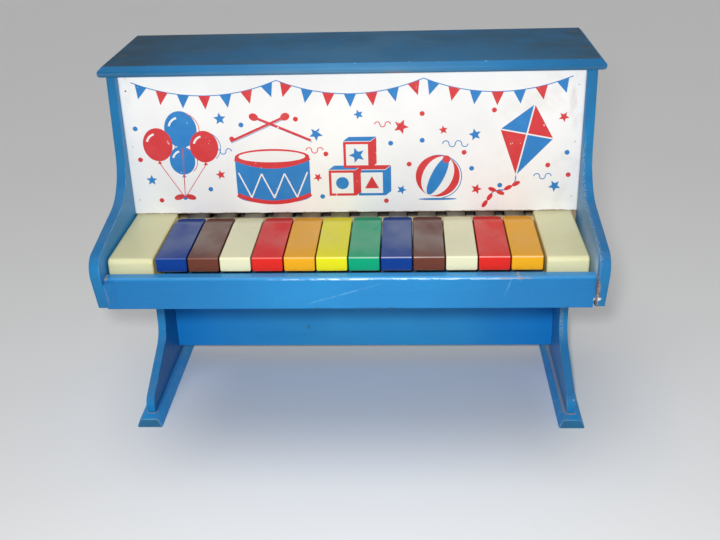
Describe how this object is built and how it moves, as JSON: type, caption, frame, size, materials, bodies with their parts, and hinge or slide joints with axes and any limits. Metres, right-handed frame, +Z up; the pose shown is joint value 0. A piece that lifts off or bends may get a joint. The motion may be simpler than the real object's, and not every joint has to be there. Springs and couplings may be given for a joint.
{
  "type": "toy piano",
  "caption": "Small toy upright piano of painted wood, with coloured keys that tip on a rod and swing hammers at flat steel tone bars inside the case.",
  "frame": {"origin": "on the floor, under the middle of the overall box", "axes": "+X to the player's right, +Y from the keys to the back, +Z up"},
  "size_m": [0.3778, 0.2152, 0.3045],
  "materials": {
    "blue_paint": "satin paint, worn",
    "white_panel": "printed hardboard",
    "brown_board": "bare hardboard",
    "cream_paint": "gloss paint",
    "pale_wood": "bare wood",
    "felt": "felt",
    "bright_steel": "drawn wire",
    "pale_guide": "thin sheet",
    "tone_steel": "ground",
    "hammer_plastic": "moulded",
    "key_blue": "moulded, dusty",
    "key_brown": "moulded, dusty",
    "key_cream": "moulded, dusty",
    "key_red": "moulded, dusty",
    "key_orange": "moulded, dusty",
    "key_yellow": "moulded, dusty",
    "key_green": "moulded, dusty"
  },
  "bodies": {
    "case": {"left_side": "blue_paint", "right_side": "blue_paint", "top_lid": "blue_paint", "key_bed": "blue_paint", "knee_board": "blue_paint", "key_slip": "blue_paint", "left_foot": "blue_paint", "right_foot": "blue_paint", "front_panel": "white_panel", "back_panel": "brown_board", "left_end_block": "cream_paint", "right_end_block": "cream_paint", "balance_rail": "pale_wood", "guide_rail": "pale_wood", "stop_rail": "pale_wood", "rest_rail": "pale_wood", "hammer_rail": "pale_wood", "left_cleat": "pale_wood", "right_cleat": "pale_wood", "lower_bar_rail": "pale_wood", "upper_bar_rail": "pale_wood", "stop_felt": "felt", "rest_felt": "felt", "lower_bar_felt": "felt", "upper_bar_felt": "felt", "pivot_rod": "bright_steel", "hammer_rod": "bright_steel", "bar_screws": "bright_steel", "foot_screws": "bright_steel", "lid_nails": "bright_steel", "side_nails": "bright_steel", "panel_nails": "bright_steel", "back_nails": "bright_steel", "guide_blades": "pale_guide", "tone_bars": "tone_steel"},
    "key_01": {"key_01": "key_blue"},
    "hammer_01": {"hammer_01": "hammer_plastic"},
    "key_02": {"key_02": "key_brown"},
    "hammer_02": {"hammer_02": "hammer_plastic"},
    "key_03": {"key_03": "key_cream"},
    "hammer_03": {"hammer_03": "hammer_plastic"},
    "key_04": {"key_04": "key_red"},
    "hammer_04": {"hammer_04": "hammer_plastic"},
    "key_05": {"key_05": "key_orange"},
    "hammer_05": {"hammer_05": "hammer_plastic"},
    "key_06": {"key_06": "key_yellow"},
    "hammer_06": {"hammer_06": "hammer_plastic"},
    "key_07": {"key_07": "key_green"},
    "hammer_07": {"hammer_07": "hammer_plastic"},
    "key_08": {"key_08": "key_blue"},
    "hammer_08": {"hammer_08": "hammer_plastic"},
    "key_09": {"key_09": "key_brown"},
    "hammer_09": {"hammer_09": "hammer_plastic"},
    "key_10": {"key_10": "key_cream"},
    "hammer_10": {"hammer_10": "hammer_plastic"},
    "key_11": {"key_11": "key_red"},
    "hammer_11": {"hammer_11": "hammer_plastic"},
    "key_12": {"key_12": "key_orange"},
    "hammer_12": {"hammer_12": "hammer_plastic"}
  },
  "joints": [
    {"name": "key_01_press", "type": "hinge", "parent": "case", "child": "key_01", "pos_m": [-0.12719, -0.0044, 0.1735], "axis": [1, 0, 0], "range_deg": [0, 4.8]},
    {"name": "hammer_01_swing", "type": "hinge", "parent": "case", "child": "hammer_01", "pos_m": [-0.12719, 0.0601, 0.1862], "axis": [1, 0, 0], "range_deg": [-20.2, 0]},
    {"name": "key_02_press", "type": "hinge", "parent": "case", "child": "key_02", "pos_m": [-0.10406, -0.0044, 0.1735], "axis": [1, 0, 0], "range_deg": [0, 4.8]},
    {"name": "hammer_02_swing", "type": "hinge", "parent": "case", "child": "hammer_02", "pos_m": [-0.10406, 0.0601, 0.1862], "axis": [1, 0, 0], "range_deg": [-20.2, 0]},
    {"name": "key_03_press", "type": "hinge", "parent": "case", "child": "key_03", "pos_m": [-0.08094, -0.0044, 0.1735], "axis": [1, 0, 0], "range_deg": [0, 4.8]},
    {"name": "hammer_03_swing", "type": "hinge", "parent": "case", "child": "hammer_03", "pos_m": [-0.08094, 0.0601, 0.1862], "axis": [1, 0, 0], "range_deg": [-20.2, 0]},
    {"name": "key_04_press", "type": "hinge", "parent": "case", "child": "key_04", "pos_m": [-0.05781, -0.0044, 0.1735], "axis": [1, 0, 0], "range_deg": [0, 4.8]},
    {"name": "hammer_04_swing", "type": "hinge", "parent": "case", "child": "hammer_04", "pos_m": [-0.05781, 0.0601, 0.1862], "axis": [1, 0, 0], "range_deg": [-20.2, 0]},
    {"name": "key_05_press", "type": "hinge", "parent": "case", "child": "key_05", "pos_m": [-0.03469, -0.0044, 0.1735], "axis": [1, 0, 0], "range_deg": [0, 4.8]},
    {"name": "hammer_05_swing", "type": "hinge", "parent": "case", "child": "hammer_05", "pos_m": [-0.03469, 0.0601, 0.1862], "axis": [1, 0, 0], "range_deg": [-20.2, 0]},
    {"name": "key_06_press", "type": "hinge", "parent": "case", "child": "key_06", "pos_m": [-0.01156, -0.0044, 0.1735], "axis": [1, 0, 0], "range_deg": [0, 4.8]},
    {"name": "hammer_06_swing", "type": "hinge", "parent": "case", "child": "hammer_06", "pos_m": [-0.01156, 0.0601, 0.1862], "axis": [1, 0, 0], "range_deg": [-20.2, 0]},
    {"name": "key_07_press", "type": "hinge", "parent": "case", "child": "key_07", "pos_m": [0.01156, -0.0044, 0.1735], "axis": [1, 0, 0], "range_deg": [0, 4.8]},
    {"name": "hammer_07_swing", "type": "hinge", "parent": "case", "child": "hammer_07", "pos_m": [0.01156, 0.0601, 0.1862], "axis": [1, 0, 0], "range_deg": [-20.2, 0]},
    {"name": "key_08_press", "type": "hinge", "parent": "case", "child": "key_08", "pos_m": [0.03469, -0.0044, 0.1735], "axis": [1, 0, 0], "range_deg": [0, 4.8]},
    {"name": "hammer_08_swing", "type": "hinge", "parent": "case", "child": "hammer_08", "pos_m": [0.03469, 0.0601, 0.1862], "axis": [1, 0, 0], "range_deg": [-20.2, 0]},
    {"name": "key_09_press", "type": "hinge", "parent": "case", "child": "key_09", "pos_m": [0.05781, -0.0044, 0.1735], "axis": [1, 0, 0], "range_deg": [0, 4.8]},
    {"name": "hammer_09_swing", "type": "hinge", "parent": "case", "child": "hammer_09", "pos_m": [0.05781, 0.0601, 0.1862], "axis": [1, 0, 0], "range_deg": [-20.2, 0]},
    {"name": "key_10_press", "type": "hinge", "parent": "case", "child": "key_10", "pos_m": [0.08094, -0.0044, 0.1735], "axis": [1, 0, 0], "range_deg": [0, 4.8]},
    {"name": "hammer_10_swing", "type": "hinge", "parent": "case", "child": "hammer_10", "pos_m": [0.08094, 0.0601, 0.1862], "axis": [1, 0, 0], "range_deg": [-20.2, 0]},
    {"name": "key_11_press", "type": "hinge", "parent": "case", "child": "key_11", "pos_m": [0.10406, -0.0044, 0.1735], "axis": [1, 0, 0], "range_deg": [0, 4.8]},
    {"name": "hammer_11_swing", "type": "hinge", "parent": "case", "child": "hammer_11", "pos_m": [0.10406, 0.0601, 0.1862], "axis": [1, 0, 0], "range_deg": [-20.2, 0]},
    {"name": "key_12_press", "type": "hinge", "parent": "case", "child": "key_12", "pos_m": [0.12719, -0.0044, 0.1735], "axis": [1, 0, 0], "range_deg": [0, 4.8]},
    {"name": "hammer_12_swing", "type": "hinge", "parent": "case", "child": "hammer_12", "pos_m": [0.12719, 0.0601, 0.1862], "axis": [1, 0, 0], "range_deg": [-20.2, 0]}
  ],
  "couplings": [
    {"joint": "hammer_01_swing", "follows": "key_01_press", "ratio": -4.2},
    {"joint": "hammer_02_swing", "follows": "key_02_press", "ratio": -4.2},
    {"joint": "hammer_03_swing", "follows": "key_03_press", "ratio": -4.2},
    {"joint": "hammer_04_swing", "follows": "key_04_press", "ratio": -4.2},
    {"joint": "hammer_05_swing", "follows": "key_05_press", "ratio": -4.2},
    {"joint": "hammer_06_swing", "follows": "key_06_press", "ratio": -4.2},
    {"joint": "hammer_07_swing", "follows": "key_07_press", "ratio": -4.2},
    {"joint": "hammer_08_swing", "follows": "key_08_press", "ratio": -4.2},
    {"joint": "hammer_09_swing", "follows": "key_09_press", "ratio": -4.2},
    {"joint": "hammer_10_swing", "follows": "key_10_press", "ratio": -4.2},
    {"joint": "hammer_11_swing", "follows": "key_11_press", "ratio": -4.2},
    {"joint": "hammer_12_swing", "follows": "key_12_press", "ratio": -4.2}
  ]
}
